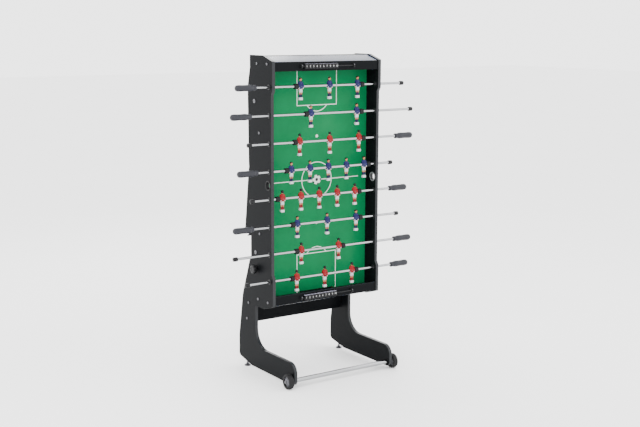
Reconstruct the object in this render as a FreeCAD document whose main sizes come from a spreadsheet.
"""Folding football table, standing upright in its storage position.

The frame: X runs along the player rods, Y from the players to the back of the cabinet, Z is up.
The origin lies on the floor, in the middle of the table's width and depth. Lengths are millimetres.

A base of two L-shaped legs stays on the floor. The cabinet tips on it about the base pivots until it
lies flat, and then a second pair of legs swings out from under the far end of the cabinet.
"""
import FreeCAD, Part
import math
import os

import Sketcher

# Driving dimensions: alias, value, what it is.
DIMENSIONS = [
    ("cabinet_width", 628.8, "over both side panels"),
    ("panel_thick", 16, "side panels, legs and end boards"),
    ("rim_y", -103, "front edge of the side panels"),
    ("rear_y", 100, "rear edge of the side panels"),
    ("low_end_z", 345, "lower end of the cabinet"),
    ("high_end_z", 1564, "upper end of the cabinet"),
    ("slope_depth", 83.4, "depth of the sloped corner at each end"),
    ("slope_drop", 26.4, "height of the sloped corner at each end"),
    ("recess_depth", 12, "how far the long part of the rim lies back"),
    ("recess_half", 427.6, "half the length of the recessed rim"),
    ("ramp_length", 20, "ramp at each end of the recessed rim"),
    ("proud", 4, "how far the side panels stand proud of the end caps"),
    ("end_board_inset", 39.5, "end of the cabinet to the middle of an end board"),
    ("end_rail_height", 48, "front rail of an end cap"),
    ("end_rail_depth", 20, "front rail of an end cap"),
    ("cap_wall", 12, "end cap boards"),
    ("field_y", -6, "playing surface"),
    ("field_thick", 9, "playfield board"),
    ("goal_half", 100, "half the goal's width"),
    ("goal_height", 60, "goal mouth above the playing surface"),
    ("goal_drop", 70, "goal mouth below the playing surface, where the ball falls"),
    ("batten_width", 18, "batten behind each long edge of the playfield"),
    ("batten_depth", 24, "batten behind each long edge of the playfield"),
    ("batten_length", 530, "batten behind each long edge of the playfield"),
    ("field_bolt_half", 243.5, "bolts of the playfield from the cabinet's middle"),
    ("field_bolt_y", 17, "bolts of the playfield, in the middle of the battens"),
    ("goal_notch", 10, "notch in the playfield in front of each goal"),
    ("rod_radius", 6.35, "rod tube"),
    ("rod_wall", 1.2, "rod tube wall"),
    ("rod_y", -75, "rod axes"),
    ("rod_pitch", 132.5, "between rod axes"),
    ("bore_radius", 6.4, "bores that run on the rods"),
    ("bearing_radius", 11, "barrel of a rod bearing"),
    ("bearing_flange", 13, "flange radius of a rod bearing"),
    ("flange_thick", 2.5, "flange of a rod bearing"),
    ("entry_y", -63, "ball entry hole"),
    ("entry_radius", 20, "ball entry hole"),
    ("grip_length", 108, "hand grip"),
    ("grip_radius", 15.5, "hand grip at its widest"),
    ("end_cap_length", 22, "safety cap on the free end of a rod"),
    ("end_cap_radius", 10.5, "safety cap"),
    ("bumper_radius", 13, "rubber bumper"),
    ("bumper_length", 20, "rubber bumper"),
    ("bumper_gap", 1.5, "between a bumper and its player"),
    ("player_half", 14.5, "half the width of a player"),
    ("head_top", 42, "top of a player above the rod"),
    ("foot_low", 65, "sole of a player below the rod"),
    ("base_pivot_y", 55, "axis on which the cabinet tips"),
    ("base_pivot_z", 614, "axis on which the cabinet tips"),
    ("base_leg_x", 290, "outer face of a base leg"),
    ("fold_pivot_y", 59, "axis of the folding legs"),
    ("fold_pivot_z", 1347, "axis of the folding legs"),
    ("fold_leg_x", 266, "outer face of a folding leg"),
    ("fold_foot_y", 145, "foot of a folding leg behind its pivot"),
    ("fold_foot_drop", 680, "foot of a folding leg below its pivot"),
    ("pivot_radius", 5, "pivot bolts and wheel axle"),
    ("pivot_bore", 5.06, "bores that turn on the pivot bolts and the axle"),
    ("axle_y", -233, "wheel axle and foot bar"),
    ("wheel_radius", 36.5, "wheel"),
    ("wheel_width", 24, "wheel"),
    ("wheel_x", 297, "inner face of a wheel"),
    ("bar_radius", 11, "foot bar"),
    ("leveller_y", 197, "base levellers"),
    ("leveller_radius", 16, "base leveller pad"),
    ("fold_pad_radius", 13, "folding leg leveller pad"),
    ("stem_radius", 4, "leveller and lock knob studs"),
    ("stem_bore", 4.07, "bores that the studs turn in"),
    ("bolt_radius", 3.5, "panel bolts"),
    ("bolt_bore", 3.7, "holes for the panel bolts"),
    ("bolt_head", 6.5, "domed heads of the panel bolts"),
    ("knob_y", 47, "lock knobs"),
    ("knob_z", 533, "lock knobs"),
    ("knob_radius", 22.5, "lock knob"),
    ("bead_pitch", 19, "score beads"),
    ("bead_start", -139, "left end of the row of score beads"),
    ("score_left", -150, "left end of a score rail"),
    ("score_right", 142, "right end of a score rail"),
]
BEADS_PER_RAIL = 10

# Rods from the top: grip side (-1 left, +1 right), middle of the rod, rod length, middle of the row of
# players, distance between players, number of players.
RODS = [
    (-1, -10, 968, 26, 166, 3),
    (-1, 7, 1054, 54, 270, 2),
    (1, 50, 968, 29, 174, 3),
    (-1, -38, 896, 22, 107, 5),
    (1, 41, 922, -31, 106, 5),
    (-1, -29, 964, 16, 174, 3),
    (1, 10, 1048, -25, 220, 2),
    (1, 34, 968, 3, 164, 3),
]

doc = FreeCAD.newDocument("football_table")
sheet = doc.addObject("Spreadsheet::Sheet", "Dims")
nodes = []


def fill_sheet():
    """Write every driving dimension into the sheet, with its alias and its note."""
    for row, (alias, value, note) in enumerate(DIMENSIONS, start=1):
        sheet.set("A%d" % row, alias)
        sheet.set("B%d" % row, str(value))
        sheet.set("C%d" % row, note)
        sheet.setAlias("B%d" % row, alias)
    doc.recompute()


def value(expression):
    """The number that an expression on the sheet's aliases stands for."""
    return float(sheet.evalExpression(str(expression)))


def bound(expression):
    """The same expression, as a property of another object has to write it."""
    words = []
    for word in str(expression).replace("(", " ( ").replace(")", " ) ").split():
        is_alias = any(word == alias for alias, _, _ in DIMENSIONS)
        words.append("Dims." + word if is_alias else word)
    return " ".join(words)


def vector(x, y, z):
    return FreeCAD.Vector(value(x), value(y), value(z))


def keep(sub_part, label):
    """Name a finished sub-part; its label is the name of its file."""
    sub_part.Label = label
    nodes.append(sub_part)
    return sub_part


# ---------------------------------------------------------------- Part primitives

def box(name, x, y, z, length, width, height):
    """A block with its low corner at x, y, z."""
    solid = doc.addObject("Part::Box", name)
    solid.setExpression("Length", bound(length))
    solid.setExpression("Width", bound(width))
    solid.setExpression("Height", bound(height))
    solid.setExpression(".Placement.Base.x", bound(x))
    solid.setExpression(".Placement.Base.y", bound(y))
    solid.setExpression(".Placement.Base.z", bound(z))
    return solid


def rod_along(name, axis, x, y, z, radius, length):
    """A cylinder that starts at x, y, z and runs along a direction."""
    solid = doc.addObject("Part::Cylinder", name)
    solid.setExpression("Radius", bound(radius))
    solid.setExpression("Height", bound(length))
    solid.Placement = FreeCAD.Placement(vector(x, y, z),
                                        FreeCAD.Rotation(FreeCAD.Vector(0, 0, 1), FreeCAD.Vector(*axis)))
    solid.setExpression(".Placement.Base.x", bound(x))
    solid.setExpression(".Placement.Base.y", bound(y))
    solid.setExpression(".Placement.Base.z", bound(z))
    return solid


def rod_x(name, x, y, z, radius, length):
    return rod_along(name, (1, 0, 0), x, y, z, radius, length)


def rod_z(name, x, y, z, radius, length):
    return rod_along(name, (0, 0, 1), x, y, z, radius, length)


def fuse(name, solids):
    joined = doc.addObject("Part::MultiFuse", name)
    joined.Shapes = solids
    return joined


def cut(name, base, tools):
    """Cut the tools, one or several, out of a solid."""
    tool = tools[0]
    if len(tools) > 1:
        tool = fuse(name + "_tools", tools)
    result = doc.addObject("Part::Cut", name)
    result.Base = base
    result.Tool = tool
    return result


def group(name, solids):
    """Several solids that stay separate but share one sub-part."""
    joined = doc.addObject("Part::Compound", name)
    joined.Links = solids
    return joined


# ---------------------------------------------------------------- PartDesign bodies

def sketch_on(body, role, name):
    """A sketch on one of the body's own origin planes."""
    plane = [feature for feature in body.Origin.OriginFeatures if feature.Role == role][0]
    sketch = body.newObject("Sketcher::SketchObject", name)
    sketch.AttachmentSupport = [(plane, "")]
    sketch.MapMode = "FlatFace"
    return sketch


def pin_down(sketch, geometry, point, place):
    """Hold one point of a sketch at a pair of expressions."""
    for kind, expression in zip(("DistanceX", "DistanceY"), place):
        constraint = Sketcher.Constraint(kind, -1, 1, geometry, point, value(expression))
        index = sketch.addConstraint(constraint)
        sketch.setExpression("Constraints[%d]" % index, bound(expression))


def draw_outline(sketch, points):
    """A closed outline of straight edges through pairs of expressions."""
    first = sketch.GeometryCount
    corners = [FreeCAD.Vector(value(a), value(b), 0) for a, b in points]
    for here, there in zip(corners, corners[1:] + corners[:1]):
        sketch.addGeometry(Part.LineSegment(here, there), False)
    for index in range(len(points)):
        following = first + (index + 1) % len(points)
        sketch.addConstraint(Sketcher.Constraint("Coincident", first + index, 2, following, 1))
        pin_down(sketch, first + index, 1, points[index])


def draw_circle(sketch, place, radius):
    centre = FreeCAD.Vector(value(place[0]), value(place[1]), 0)
    index = sketch.addGeometry(Part.Circle(centre, FreeCAD.Vector(0, 0, 1), value(radius)), False)
    constraint = sketch.addConstraint(Sketcher.Constraint("Radius", index, value(radius)))
    sketch.setExpression("Constraints[%d]" % constraint, bound(radius))
    pin_down(sketch, index, 3, place)


def plate(name, points, inner_x, thickness, side):
    """A plate across X: an outline in Y and Z, padded outwards from inner_x on one side."""
    body = doc.addObject("PartDesign::Body", name)
    sketch = sketch_on(body, "YZ_Plane", name + "_outline")
    draw_outline(sketch, points)
    pad = body.newObject("PartDesign::Pad", name + "_pad")
    pad.Profile = sketch
    pad.setExpression("Length", bound(thickness))
    pad.Reversed = side < 0
    body.Placement.Base.x = side * value(inner_x)
    doc.recompute()
    return body


def drill(body, name, circles):
    """Round holes right through a plate: (y, z, radius) each."""
    sketch = sketch_on(body, "YZ_Plane", name + "_sketch")
    for y, z, radius in circles:
        draw_circle(sketch, (y, z), radius)
    before = body.Shape.Volume
    pocket = body.newObject("PartDesign::Pocket", name)
    pocket.Profile = sketch
    pocket.Type = "ThroughAll"
    pocket.Midplane = True
    doc.recompute()
    if body.Shape.Volume >= before:
        raise ValueError(name + " cut nothing")


def round_corner(body, name, corner, radius):
    """Round the plate's edge that stands at one (y, z) corner of its outline."""
    tip = body.Tip
    edges = []
    for number, edge in enumerate(tip.Shape.Edges, start=1):
        ends = [vertex.Point for vertex in edge.Vertexes]
        at_corner = [math.hypot(end.y - value(corner[0]), end.z - value(corner[1])) < 0.01 for end in ends]
        if len(ends) == 2 and all(at_corner):
            edges.append("Edge%d" % number)
    fillet = body.newObject("PartDesign::Fillet", name)
    fillet.Base = (tip, edges)
    fillet.Radius = radius
    doc.recompute()


def turned(name, profile, x, y, z, side):
    """A body turned about an axis along X: (distance, radius) points, pointing to one side."""
    body = doc.addObject("PartDesign::Body", name)
    sketch = sketch_on(body, "XY_Plane", name + "_profile")
    draw_outline(sketch, profile)
    revolution = body.newObject("PartDesign::Revolution", name + "_turn")
    revolution.Profile = sketch
    revolution.ReferenceAxis = (sketch, ["H_Axis"])
    revolution.Angle = 360
    if side < 0:
        turn = FreeCAD.Rotation(FreeCAD.Vector(0, 0, 1), 180)
        body.Placement = FreeCAD.Placement(FreeCAD.Vector(0, 0, 0), turn)
    body.Placement.Base = vector(x, y, z)
    return body


# ---------------------------------------------------------------- layout that follows from the sheet

INNER = "( cabinet_width / 2 - panel_thick )"
OUTER = "( cabinet_width / 2 )"
MIDDLE = "( ( low_end_z + high_end_z ) / 2 )"
SIDES = (("left", -1), ("right", 1))
ENDS = (("lower", "low_end_z", 1), ("upper", "high_end_z", -1))


def rod_z_at(index):
    """Height of a rod's axis; rods count from the top."""
    return "%s + %g * rod_pitch" % (MIDDLE, (len(RODS) - 1) / 2 - index)


def end_z(edge, inward, distance):
    """Height of a point that lies some distance inside one end of the cabinet."""
    sign = "+" if inward > 0 else "-"
    return "%s %s ( %s )" % (edge, sign, distance)


def end_bolt_places():
    """(y, z) of the two bolts that hold each end board, in each side panel."""
    return [(y, end_z(edge, inward, "end_board_inset")) for _, edge, inward in ENDS for y in (-57, 35)]


def field_bolt_places():
    """(y, z) of the two bolts that hold the playfield's edge, in each side panel."""
    return [("field_bolt_y", "%s %s field_bolt_half" % (MIDDLE, sign)) for sign in ("-", "+")]


# ---------------------------------------------------------------- cabinet

def side_panel(label, side):
    """Side panel with a sloped corner at each end and a long recess in its rim."""
    step = "%s %s recess_half %s ramp_length"
    points = [
        ("rim_y", "low_end_z + slope_drop"),
        ("rim_y + slope_depth", "low_end_z"),
        ("rear_y", "low_end_z"),
        ("rear_y", "high_end_z"),
        ("rim_y + slope_depth", "high_end_z"),
        ("rim_y", "high_end_z - slope_drop"),
        ("rim_y", step % (MIDDLE, "+", "+")),
        ("rim_y + recess_depth", "%s + recess_half" % MIDDLE),
        ("rim_y + recess_depth", "%s - recess_half" % MIDDLE),
        ("rim_y", step % (MIDDLE, "-", "-")),
    ]
    body = plate("side_panel_" + label, points, INNER, "panel_thick", side)
    holes = [("rod_y", rod_z_at(index), "bearing_radius + 0.1") for index in range(len(RODS))]
    holes.append(("entry_y", MIDDLE, "entry_radius"))
    holes.append(("base_pivot_y", "base_pivot_z", "pivot_radius + 0.1"))
    holes.append(("fold_pivot_y", "fold_pivot_z", "pivot_radius + 0.1"))
    holes.append(("knob_y", "knob_z", "stem_bore"))
    holes += [(y, z, "bolt_bore") for y, z in end_bolt_places() + field_bolt_places()]
    drill(body, "side_holes_" + label, holes)
    keep(body, "side_panel_" + label)


def end_board(label, edge, inward):
    """Board across one end of the playing space, with the goal mouth cut through it."""
    half = "panel_thick / 2"
    low = end_z(edge, inward, "end_board_inset - %s" % half if inward > 0 else "end_board_inset + %s" % half)
    front = "rim_y + proud + end_rail_depth"
    board = box("end_board_%s_blank" % label, "- %s + 0.2" % INNER, front, low,
                "2 * %s - 0.4" % INNER, "rear_y - ( %s )" % front, "panel_thick")
    mouth = box("goal_mouth_" + label, "- goal_half", "field_y - goal_height", "%s - 5" % low,
                "2 * goal_half", "goal_height + goal_drop", "panel_thick + 10")
    tools = [mouth]
    for number, y in enumerate((-57, 35)):
        for side_name, side in SIDES:
            start = "%s - 40" % INNER if side > 0 else "- %s" % INNER
            name = "end_board_%s_hole_%s_%d" % (label, side_name, number)
            tools.append(rod_x(name, start, y, end_z(edge, inward, "end_board_inset"), "bolt_bore", 40))
    return cut("end_board_" + label, board, tools)


def end_boards():
    keep(group("end_boards", [end_board(*end) for end in ENDS]), "end_boards")


def end_caps():
    """Bent cover over each end: a front rail, a sloped board and a flat board with a ball hatch."""
    caps = []
    for label, edge, inward in ENDS:
        outer = [
            ("rim_y + proud", "slope_drop + proud - 1 + end_rail_height - 4"),
            ("rim_y + proud", "slope_drop + proud - 1"),
            ("rim_y + slope_depth", "proud"),
            ("rear_y", "proud"),
            ("rear_y", "proud + cap_wall"),
            ("rim_y + slope_depth + 2", "proud + cap_wall"),
            ("rim_y + proud + end_rail_depth", "slope_drop + proud"),
            ("rim_y + proud + end_rail_depth", "slope_drop + proud - 1 + end_rail_height - 4"),
        ]
        points = [(y, end_z(edge, inward, depth)) for y, depth in outer]
        body = plate("end_cap_%s_bend" % label, points, "0.2 - %s" % INNER, "2 * %s - 0.4" % INNER, 1)
        hatch_low = end_z(edge, inward, "proud - 5" if inward > 0 else "proud + cap_wall + 5")
        hatch = box("ball_hatch_" + label, -70, 30, hatch_low, 140, 54, "cap_wall + 10")
        caps.append(cut("end_cap_" + label, body, [hatch]))
    keep(group("end_caps", caps), "end_caps")


def playfield():
    """Board with a batten behind each long edge, and a notch where the ball drops at each goal."""
    low = end_z("low_end_z", 1, "end_board_inset + panel_thick / 2 + 0.2")
    height = "high_end_z - low_end_z - 2 * ( end_board_inset + panel_thick / 2 + 0.2 )"
    board = box("playfield_blank", "- %s + 0.2" % INNER, "field_y", low,
                "2 * %s - 0.4" % INNER, "field_thick", height)
    solids = [board]
    tools = []
    for side_name, side in SIDES:
        batten_x = "%s - 0.2 - batten_width" % INNER if side > 0 else "0.2 - %s" % INNER
        solids.append(box("field_batten_" + side_name, batten_x, "field_y + field_thick",
                          "%s - batten_length / 2" % MIDDLE, "batten_width", "batten_depth", "batten_length"))
        hole_x = "%s - 15" % INNER if side > 0 else "- %s" % INNER
        for number, (y, z) in enumerate(field_bolt_places()):
            name = "field_hole_%s_%d" % (side_name, number)
            tools.append(rod_x(name, hole_x, y, z, "bolt_bore", 15))
    for label, edge, inward in ENDS:
        depth = "end_board_inset + panel_thick / 2"
        start = end_z(edge, inward, depth + (" - 5" if inward > 0 else " + goal_notch"))
        tools.append(box("goal_notch_" + label, "- goal_half", "field_y - 5", start,
                         "2 * goal_half", "field_thick + 10", "goal_notch + 5"))
    keep(cut("playfield", fuse("playfield_board", solids), tools), "playfield")


def goal_boxes():
    """Tray behind the playfield at each end, open towards the end board, where goals collect."""
    trays = []
    depth = 46
    wall = 3
    top = "field_y + field_thick + 0.3"
    for label, edge, inward in ENDS:
        edge_depth = "end_board_inset + panel_thick / 2 + 0.3"
        low = end_z(edge, inward, edge_depth + ("" if inward > 0 else " + %g" % depth))
        hollow_low = "%s %s %g" % (low, "-" if inward > 0 else "+", wall)
        shell = box("goal_box_%s_shell" % label, "- goal_half - 8", top, low,
                    "2 * goal_half + 16", 74, depth)
        hollow = box("goal_box_%s_hollow" % label, "- goal_half - 8 + %g" % wall, "%s - 5" % top, hollow_low,
                     "2 * goal_half + 16 - %g" % (2 * wall), 74 - wall + 5, depth)
        trays.append(cut("goal_box_" + label, shell, [hollow]))
    keep(group("goal_boxes", trays), "goal_boxes")


def rod_bearings():
    """Flanged plastic bush in each side panel for each rod."""
    bushes = []
    for index in range(len(RODS)):
        for side_name, side in SIDES:
            name = "bearing_%d_%s" % (index + 1, side_name)
            z = rod_z_at(index)
            barrel_start = INNER if side > 0 else "- %s" % OUTER
            barrel = rod_x(name + "_barrel", barrel_start, "rod_y", z, "bearing_radius", "panel_thick")
            outer_start = OUTER if side > 0 else "- %s - flange_thick" % OUTER
            inner_start = "%s - flange_thick" % INNER if side > 0 else "- %s" % INNER
            outer = rod_x(name + "_outer", outer_start, "rod_y", z, "bearing_flange", "flange_thick")
            inner = rod_x(name + "_inner", inner_start, "rod_y", z, "bearing_flange", "flange_thick")
            bore_start = "%s - 10" % INNER if side > 0 else "- %s - 10" % OUTER
            bore = rod_x(name + "_bore", bore_start, "rod_y", z, "bore_radius", "panel_thick + 20")
            bushes.append(cut(name, fuse(name + "_blank", [barrel, outer, inner]), [bore]))
    keep(group("rod_bearings", bushes), "rod_bearings")


def hinge_cheeks():
    """Cheek inside each side panel that stiffens the folding leg's pivot."""
    cheeks = []
    points = [(37, 1010), (143, 1010), (150, 1410), (126, 1512), (37, 1512)]
    rounds = [(points[1], 25), (points[2], 150), (points[3], 15)]
    for side_name, side in SIDES:
        name = "hinge_cheek_" + side_name
        body = plate(name, points, "%s - panel_thick - 0.2" % INNER, "panel_thick", side)
        drill(body, name + "_hole", [("fold_pivot_y", "fold_pivot_z", "pivot_radius + 0.1")])
        for number, (corner, radius) in enumerate(rounds):
            round_corner(body, "%s_round_%d" % (name, number), corner, radius)
        cheeks.append(body)
    keep(group("hinge_cheeks", cheeks), "hinge_cheeks")


def dome_bolt(name, side, y, z, face, head, radius, reach, nut_at):
    """Domed bolt from a face inwards; with nut_at it also carries a spacer, a lock nut and its end."""
    out = "%s" % face if side > 0 else "- ( %s ) - 4" % face
    solids = [rod_x(name + "_head", out, y, z, head, 4)]
    start = "%s - %g" % (face, reach) if side > 0 else "- ( %s )" % face
    solids.append(rod_x(name + "_shank", start, y, z, radius, reach))
    if nut_at is not None:
        nut_start = "%s - 9" % nut_at if side > 0 else "- ( %s )" % nut_at
        solids.append(rod_x(name + "_nut", nut_start, y, z, 9, 9))
    return solids


def cabinet_bolts():
    """Bolts of the end boards and the playfield, and the pivot bolts with their spacers and nuts."""
    bolts = []
    for side_name, side in SIDES:
        for number, (y, z) in enumerate(end_bolt_places()):
            name = "end_bolt_%s_%d" % (side_name, number)
            bolts.append(fuse(name, dome_bolt(name, side, y, z, OUTER, "bolt_head", "bolt_radius", 48, None)))
        for number, (y, z) in enumerate(field_bolt_places()):
            name = "field_bolt_%s_%d" % (side_name, number)
            bolts.append(fuse(name, dome_bolt(name, side, y, z, OUTER, "bolt_head", "bolt_radius", 30, None)))
        pivots = (
            ("base_pivot", "base_pivot_y", "base_pivot_z", "base_leg_x", INNER),
            ("fold_pivot", "fold_pivot_y", "fold_pivot_z", "fold_leg_x", "%s - panel_thick - 0.2" % INNER),
        )
        for pivot, y, z, leg_x, wall_x in pivots:
            name = "%s_%s" % (pivot, side_name)
            nut_at = "%s - panel_thick - 0.3" % leg_x
            reach = value(OUTER) - value(nut_at) + 12
            solids = dome_bolt(name, side, y, z, OUTER, 10, "pivot_radius", reach, nut_at)
            gap = "%s - 0.2 - ( %s + 0.3 )" % (wall_x, leg_x)
            start = "%s + 0.3" % leg_x if side > 0 else "- ( %s + 0.3 ) - ( %s )" % (leg_x, gap)
            solids.append(rod_x(name + "_spacer", start, y, z, 14, gap))
            bolts.append(fuse(name, solids))
    keep(group("cabinet_bolts", bolts), "cabinet_bolts")


def score_rails():
    """Round rail with a bracket at each end, on the front rail of each end cap."""
    rails = []
    for label, edge, inward in ENDS:
        z = score_z(edge, inward)
        name = "score_rail_" + label
        solids = [rod_x(name + "_rail", "score_left", score_y(), z, 3, "score_right - score_left")]
        for number, x in enumerate(("score_left - 8", "score_right")):
            solids.append(box("%s_bracket_%d" % (name, number), x, "%s - 7" % score_y(), "%s - 9" % z,
                              8, "rim_y + proud - ( %s - 7 )" % score_y(), 18))
        rails.append(fuse(name, solids))
    keep(group("score_rails", rails), "score_rails")


def score_y():
    """Depth of the score rails' axes: their beads just clear the front rails."""
    return "rim_y + proud - 8.5"


def score_z(edge, inward):
    return end_z(edge, inward, "slope_drop + proud - 1 + end_rail_height / 2 - 2")


def score_beads(label, edge, inward):
    """Row of counter blocks that slides along one score rail."""
    z = score_z(edge, inward)
    beads = []
    for number in range(BEADS_PER_RAIL):
        name = "score_bead_%s_%d" % (label, number + 1)
        x = "bead_start + %d * bead_pitch + 0.5" % number
        block = box(name + "_block", x, "%s - 8" % score_y(), "%s - 12" % z, "bead_pitch - 1", 16, 24)
        bore = rod_x(name + "_bore", "%s - 2" % x, score_y(), z, 3.1, "bead_pitch + 4")
        beads.append(cut(name, block, [bore]))
    keep(group("score_beads_" + label, beads), "score_beads_" + label)


# ---------------------------------------------------------------- base that stays on the floor

def base_leg(label, side):
    """L-shaped leg: a long foot, a rounded crotch and an upright that reaches the pivot."""
    heel = (265.6, 43)
    points = [
        (-257, 16), (139, 16), heel, (265, 150), (227, 370), (155, 560), (97, 641), (28, 641),
        (28, 505), (104, 432), (104, 123), (-257, 123),
    ]
    body = plate("base_leg_%s_board" % label, points, "base_leg_x - panel_thick", "panel_thick", side)
    rounds = [(points[0], 24), (points[11], 50), (points[10], 95), (heel, 20), (points[3], 120),
              (points[4], 200), (points[5], 60), (points[6], 30), (points[7], 26.5), (points[8], 50),
              (points[9], 50)]
    for number, (corner, radius) in enumerate(rounds):
        round_corner(body, "base_leg_%s_round_%d" % (label, number), corner, radius)
    holes = [
        ("base_pivot_y", "base_pivot_z", "pivot_bore"),
        ("knob_y", "knob_z", "stem_radius + 1"),
        ("axle_y", "wheel_radius", "pivot_radius + 0.1"),
    ]
    holes += [(y, z, "bolt_bore") for y, z in CROSS_BOLTS]
    drill(body, "base_leg_holes_" + label, holes)
    x = "base_leg_x - panel_thick / 2" if side > 0 else "panel_thick / 2 - base_leg_x"
    bore = rod_z("base_leg_bore_" + label, x, "leveller_y", 10, "stem_bore", 60)
    keep(cut("base_leg_" + label, body, [bore]), "base_leg_" + label)


# Bolts of the base's cross panel in the legs; the panel lies along the line through them.
CROSS_BOLTS = [(169.3, 334.4), (185.4, 250.2)]
CROSS_THICK = 15


def tilted_board(name, centre, lean, width, thickness, height):
    """Board across X, centred on a point and leaning back from the vertical by an angle."""
    board = doc.addObject("Part::Box", name)
    board.setExpression("Length", bound(width))
    board.Width = thickness
    board.Height = height
    turn = FreeCAD.Rotation(FreeCAD.Vector(1, 0, 0), lean)
    corner = FreeCAD.Vector(-value(width) / 2, -thickness / 2, -height / 2)
    place = FreeCAD.Vector(0, centre[0], centre[1]) + turn.multVec(corner)
    board.Placement = FreeCAD.Placement(place, turn)
    return board


def base_cross_panel():
    """Leaning board that ties the two base legs together."""
    (upper_y, upper_z), (lower_y, lower_z) = CROSS_BOLTS
    lean = math.degrees(math.atan2(lower_y - upper_y, upper_z - lower_z))
    centre = ((upper_y + lower_y) / 2, (upper_z + lower_z) / 2)
    width = "2 * ( base_leg_x - panel_thick ) - 0.4"
    board = tilted_board("base_cross_board", centre, lean, width, CROSS_THICK, 130)
    holes = []
    for number, (y, z) in enumerate(CROSS_BOLTS):
        for side_name, side in SIDES:
            start = "base_leg_x - panel_thick - 42" if side > 0 else "panel_thick - base_leg_x"
            holes.append(rod_x("base_cross_hole_%s_%d" % (side_name, number), start, y, z, "bolt_bore", 42))
    keep(cut("base_cross_panel", board, holes), "base_cross_panel")


def foot_bar():
    """Tube between the feet, with the axle that carries the wheels and its cap nuts."""
    inner = "base_leg_x - panel_thick - 0.2"
    wheel_end = "wheel_x + wheel_width"
    tube = rod_x("foot_tube", "- ( %s )" % inner, "axle_y", "wheel_radius", "bar_radius", "2 * ( %s )" % inner)
    solids = [tube]
    axle_end = "%s + 6" % wheel_end
    solids.append(rod_x("foot_axle", "- ( %s )" % axle_end, "axle_y", "wheel_radius", "pivot_radius",
                        "2 * ( %s )" % axle_end))
    for side_name, side in SIDES:
        nut = "%s + 0.5" % wheel_end if side > 0 else "- ( %s ) - 8.5" % wheel_end
        collar = "base_leg_x + 0.2" if side > 0 else "- wheel_x + 0.5"
        solids.append(rod_x("axle_nut_" + side_name, nut, "axle_y", "wheel_radius", 9, 8))
        solids.append(rod_x("axle_collar_" + side_name, collar, "axle_y", "wheel_radius", 9,
                            "wheel_x - base_leg_x - 0.7"))
    keep(fuse("foot_bar", solids), "foot_bar")


def base_bolts():
    """Bolts through the base legs into the ends of the cross panel."""
    bolts = []
    for side_name, side in SIDES:
        for number, (y, z) in enumerate(CROSS_BOLTS):
            name = "base_bolt_%s_%d" % (side_name, number)
            bolts.append(fuse(name, dome_bolt(name, side, y, z, "base_leg_x", "bolt_head", "bolt_radius",
                                              54, None)))
    keep(group("base_bolts", bolts), "base_bolts")


def wheel(label, side):
    """Plastic wheel with a rounded tread, free on the axle."""
    half = "wheel_width / 2"
    profile = [
        (0, "pivot_bore"), (0, 13), (4, 14), (4, 24), (0, 25), (0, "wheel_radius - 2"), (2, "wheel_radius"),
        ("wheel_width - 2", "wheel_radius"), ("wheel_width", "wheel_radius - 2"), ("wheel_width", 25),
        ("wheel_width - 4", 24), ("wheel_width - 4", 14), ("wheel_width", 13), ("wheel_width", "pivot_bore"),
    ]
    x = "wheel_x" if side > 0 else "- wheel_x"
    body = turned("wheel_" + label, profile, x, "axle_y", "wheel_radius", side)
    keep(body, "wheel_" + label)


def leveller(name, pad_radius, x, y, z, direction):
    """Levelling foot with its stud: it stands on x, y, z and points along a direction in Y and Z."""
    along = (0, direction[0], direction[1])
    solids = []
    stages = (("pad", 0, pad_radius, 7), ("neck", 7, 7, 5), ("stud", 12, "stem_radius", 40))
    for part, start, radius, length in stages:
        base_y = "%s + %.6f" % (y, start * direction[0])
        base_z = "%s + %.6f" % (z, start * direction[1])
        solids.append(rod_along("%s_%s" % (name, part), along, x, base_y, base_z, radius, length))
    keep(fuse(name, solids), name)


def base_levellers():
    for side_name, side in SIDES:
        x = "base_leg_x - panel_thick / 2" if side > 0 else "panel_thick / 2 - base_leg_x"
        leveller("base_leveller_" + side_name, "leveller_radius", x, "leveller_y", 0, (0, 1))


# ---------------------------------------------------------------- folding legs

def fold_angle():
    """Angle that the folding legs swing from the cabinet's back until their feet reach the floor."""
    reach = math.hypot(value("fold_foot_y"), value("fold_foot_drop"))
    height = value("base_pivot_z - ( fold_pivot_y - base_pivot_y )")
    stored = math.degrees(math.atan2(value("fold_foot_y"), value("fold_foot_drop")))
    splay = math.degrees(math.acos(height / reach))
    return 90 - stored + splay


def stud_direction():
    """Direction of a folding leg's stud in Y and Z: upright once the table is set up for play."""
    lean = math.radians(fold_angle() - 90)
    return (math.sin(lean), math.cos(lean))


def fold_foot(along, across):
    """Point near the foot of a folding leg, measured from the floor end of its stud."""
    up_y, up_z = stud_direction()
    y = "fold_pivot_y + fold_foot_y + %.4f" % (along * up_y + across * up_z)
    z = "fold_pivot_z - fold_foot_drop + %.4f" % (along * up_z - across * up_y)
    return (y, z)


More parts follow.
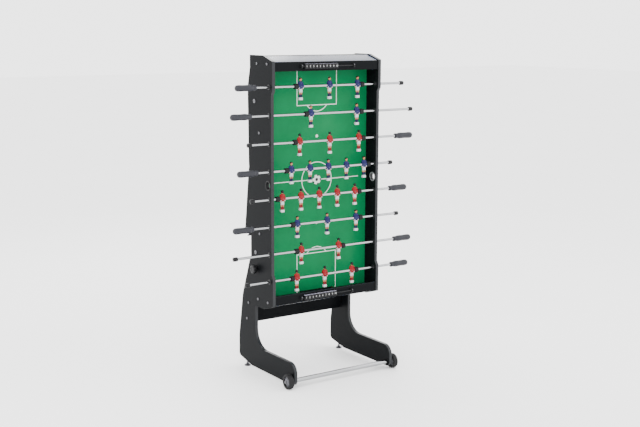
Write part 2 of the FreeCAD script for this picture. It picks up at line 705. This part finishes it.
def fold_leg(label, side):
    """Folding leg: the upper part leans out from its pivot and the lower part runs down to the foot."""
    rear_foot = fold_foot(24, 32)
    front_foot = fold_foot(24, -32)
    points = [
        ("fold_pivot_y - 29", "fold_pivot_z + 29"), ("fold_pivot_y - 29", "fold_pivot_z - 60"),
        ("fold_pivot_y + 70", "fold_pivot_z - 350"), front_foot, rear_foot,
        ("fold_pivot_y + 142", "fold_pivot_z - 345"), ("fold_pivot_y + 46", "fold_pivot_z - 40"),
        ("fold_pivot_y + 29", "fold_pivot_z + 29"),
    ]
    body = plate("fold_leg_%s_board" % label, points, "fold_leg_x - panel_thick", "panel_thick", side)
    rounds = [(points[0], 28), (points[7], 28), (points[2], 300), (points[5], 300), (points[3], 14),
              (points[4], 14)]
    for number, (corner, radius) in enumerate(rounds):
        round_corner(body, "fold_leg_%s_round_%d" % (label, number), corner, radius)
    drill(body, "fold_leg_holes_" + label, [("fold_pivot_y", "fold_pivot_z", "pivot_bore")])
    x = "fold_leg_x - panel_thick / 2" if side > 0 else "panel_thick / 2 - fold_leg_x"
    start_y, start_z = fold_foot(14, 0)
    direction = stud_direction()
    bore = rod_along("fold_leg_bore_" + label, (0, direction[0], direction[1]), x, start_y, start_z,
                     "stem_bore", 46)
    keep(cut("fold_leg_" + label, body, [bore]), "fold_leg_" + label)


def fold_cross_panel():
    """Board that ties the folding legs together."""
    width = "2 * ( fold_leg_x - panel_thick ) - 0.4"
    centre = (value("fold_pivot_y + 125"), value("fold_pivot_z - 505"))
    keep(tilted_board("fold_cross_panel", centre, 7.2, width, CROSS_THICK, 120), "fold_cross_panel")


def fold_levellers():
    for side_name, side in SIDES:
        x = "fold_leg_x - panel_thick / 2" if side > 0 else "panel_thick / 2 - fold_leg_x"
        y, z = fold_foot(0, 0)
        leveller("fold_leveller_" + side_name, "fold_pad_radius", x, y, z, stud_direction())


# ---------------------------------------------------------------- lock knobs

def lock_knob(label, side):
    """Clamp knob whose stud goes through a side panel towards the hole in the base leg."""
    face = "%s + 0.5" % OUTER
    stud_length = "%s - base_leg_x - 1.5" % face
    start = "base_leg_x + 1.5" if side > 0 else "- base_leg_x - 1.5 - ( %s )" % stud_length
    stud = rod_x("lock_stud_" + label, start, "knob_y", "knob_z", "stem_radius", stud_length)
    collar_start = face if side > 0 else "- ( %s ) - 6" % face
    collar = rod_x("lock_collar_" + label, collar_start, "knob_y", "knob_z", 11, 6)
    head_start = "%s + 6" % face if side > 0 else "- ( %s ) - 26" % face
    head = rod_x("lock_head_" + label, head_start, "knob_y", "knob_z", "knob_radius", 20)
    flutes = []
    for number in range(8):
        angle = math.radians(45 * number)
        flute_y = "knob_y + ( knob_radius + 3 ) * %.6f" % math.cos(angle)
        flute_z = "knob_z + ( knob_radius + 3 ) * %.6f" % math.sin(angle)
        flute_start = "%s + 3" % face if side > 0 else "- ( %s ) - 30" % face
        flutes.append(rod_x("lock_flute_%s_%d" % (label, number), flute_start, flute_y, flute_z, 6, 27))
    grip = cut("lock_grip_" + label, head, flutes)
    keep(fuse("lock_knob_" + label, [stud, collar, grip]), "lock_knob_" + label)


# ---------------------------------------------------------------- rods

def rod_tube(index, middle, length):
    name = "rod_%d_tube" % (index + 1)
    start = "%g - %g" % (middle, length / 2 - 4)
    outer = rod_x(name + "_outside", start, "rod_y", rod_z_at(index), "rod_radius", length - 8)
    hollow = rod_x(name + "_inside", "%s - 1" % start, "rod_y", rod_z_at(index), "rod_radius - rod_wall",
                   length - 6)
    keep(cut(name, outer, [hollow]), name)


def rod_grip(index, side, middle, length):
    """Hand grip on one end of a rod and safety cap on the other, both closed at their ends."""
    name = "rod_%d_grip" % (index + 1)
    grip_profile = [
        (0, 11), (2, 13), (10, 13), (30, "grip_radius"), (55, "grip_radius - 1"), (80, "grip_radius"),
        ("grip_length - 6", "grip_radius - 1"), ("grip_length - 1", 11), ("grip_length", 8),
        ("grip_length", 0), ("grip_length - 3.5", 0), ("grip_length - 3.5", "bore_radius"), (0, "bore_radius"),
    ]
    cap_profile = [
        (0, "end_cap_radius - 1"), (1, "end_cap_radius"), ("end_cap_length - 2", "end_cap_radius"),
        ("end_cap_length", "end_cap_radius - 3"), ("end_cap_length", 0), ("end_cap_length - 3.5", 0),
        ("end_cap_length - 3.5", "bore_radius"), (0, "bore_radius"),
    ]
    grip_x = "%g - %d * grip_length" % (middle + side * length / 2, side)
    cap_x = "%g + %d * end_cap_length" % (middle - side * length / 2, side)
    grip = turned(name + "_handle", grip_profile, grip_x, "rod_y", rod_z_at(index), side)
    cap = turned(name + "_cap", cap_profile, cap_x, "rod_y", rod_z_at(index), -side)
    keep(group(name, [grip, cap]), name)


def player_places(index):
    """X of every player on a rod, from left to right."""
    _, _, _, row_middle, pitch, count = RODS[index]
    return [row_middle + (number - (count - 1) / 2) * pitch for number in range(count)]


def player_figure():
    """One player about the origin, hanging feet down, as the model for every row."""
    hub = rod_x("player_hub", "- player_half", 0, 0, 11, "2 * player_half")
    torso = box("player_torso", "1 - player_half", -9, -20, "2 * player_half - 2", 18, 46)
    neck = rod_z("player_neck", 0, 0, 24, 4.5, 8)
    head = doc.addObject("Part::Sphere", "player_head")
    head.Radius = 8
    head.setExpression(".Placement.Base.z", bound("head_top - 8"))
    legs = box("player_legs", -9, -7, "8 - foot_low", 18, 14, "foot_low - 20")
    foot = box("player_foot", -10.5, -9.5, "- foot_low", 21, 19, 17)
    blank = fuse("player_blank", [hub, torso, neck, head, legs, foot])
    bore = rod_x("player_bore", "- player_half - 5", 0, 0, "bore_radius", "2 * player_half + 10")
    figure = cut("player_figure", blank, [bore])
    doc.recompute()
    return figure.Shape


def rod_players(index, figure):
    """The players of one rod: copies of the figure in a row, which no primitive makes."""
    name = "rod_%d_players" % (index + 1)
    row = doc.addObject("Part::Feature", name)
    copies = []
    for x in player_places(index):
        copy = figure.copy()
        copy.translate(FreeCAD.Vector(x, 0, 0))
        copies.append(copy)
    row.Shape = Part.makeCompound(copies)
    row.Placement = FreeCAD.Placement(vector(0, "rod_y", rod_z_at(index)), FreeCAD.Rotation())
    keep(row, name)


def rod_bumpers(index):
    """Rubber ring outside the first and the last player of a rod."""
    name = "rod_%d_bumpers" % (index + 1)
    places = player_places(index)
    starts = ("%g - player_half - bumper_gap - bumper_length" % places[0],
              "%g + player_half + bumper_gap" % places[-1])
    rings = []
    for number, start in enumerate(starts):
        ring_name = "%s_ring_%d" % (name, number)
        ring = rod_x(ring_name, start, "rod_y", rod_z_at(index), "bumper_radius", "bumper_length")
        bore = rod_x(ring_name + "_bore", "%s - 5" % start, "rod_y", rod_z_at(index), "bore_radius",
                     "bumper_length + 10")
        rings.append(cut(ring_name + "_cut", ring, [bore]))
    keep(group(name, rings), name)


def rods():
    figure = player_figure()
    for index, (side, middle, length, _, _, _) in enumerate(RODS):
        rod_tube(index, middle, length)
        rod_grip(index, side, middle, length)
        rod_players(index, figure)
        rod_bumpers(index)


# ---------------------------------------------------------------- whole table

def build():
    fill_sheet()
    for side_name, side in SIDES:
        side_panel(side_name, side)
        base_leg(side_name, side)
        wheel(side_name, side)
        fold_leg(side_name, side)
        lock_knob(side_name, side)
    for label, edge, inward in ENDS:
        score_beads(label, edge, inward)
    end_boards()
    end_caps()
    playfield()
    goal_boxes()
    rod_bearings()
    hinge_cheeks()
    cabinet_bolts()
    score_rails()
    base_cross_panel()
    foot_bar()
    base_bolts()
    base_levellers()
    fold_cross_panel()
    fold_levellers()
    rods()
    doc.recompute()


def check():
    """Stop if any object failed, or any sub-part is empty or broken."""
    for item in doc.Objects:
        if "Invalid" in item.State or "Error" in item.State:
            raise ValueError(item.Name + " failed: " + ", ".join(item.State))
    for sub_part in nodes:
        if sub_part.Shape.isNull() or not sub_part.Shape.isValid():
            raise ValueError(sub_part.Label + " has no valid shape")


def write():
    os.makedirs("parts", exist_ok=True)
    for sub_part in nodes:
        sub_part.Shape.exportStep("parts/%s.step" % sub_part.Label)


build()
check()
write()
print("sub-parts:", len(nodes))
print("folding legs swing %.2f degrees, studs along %s" % (fold_angle(), stud_direction()))
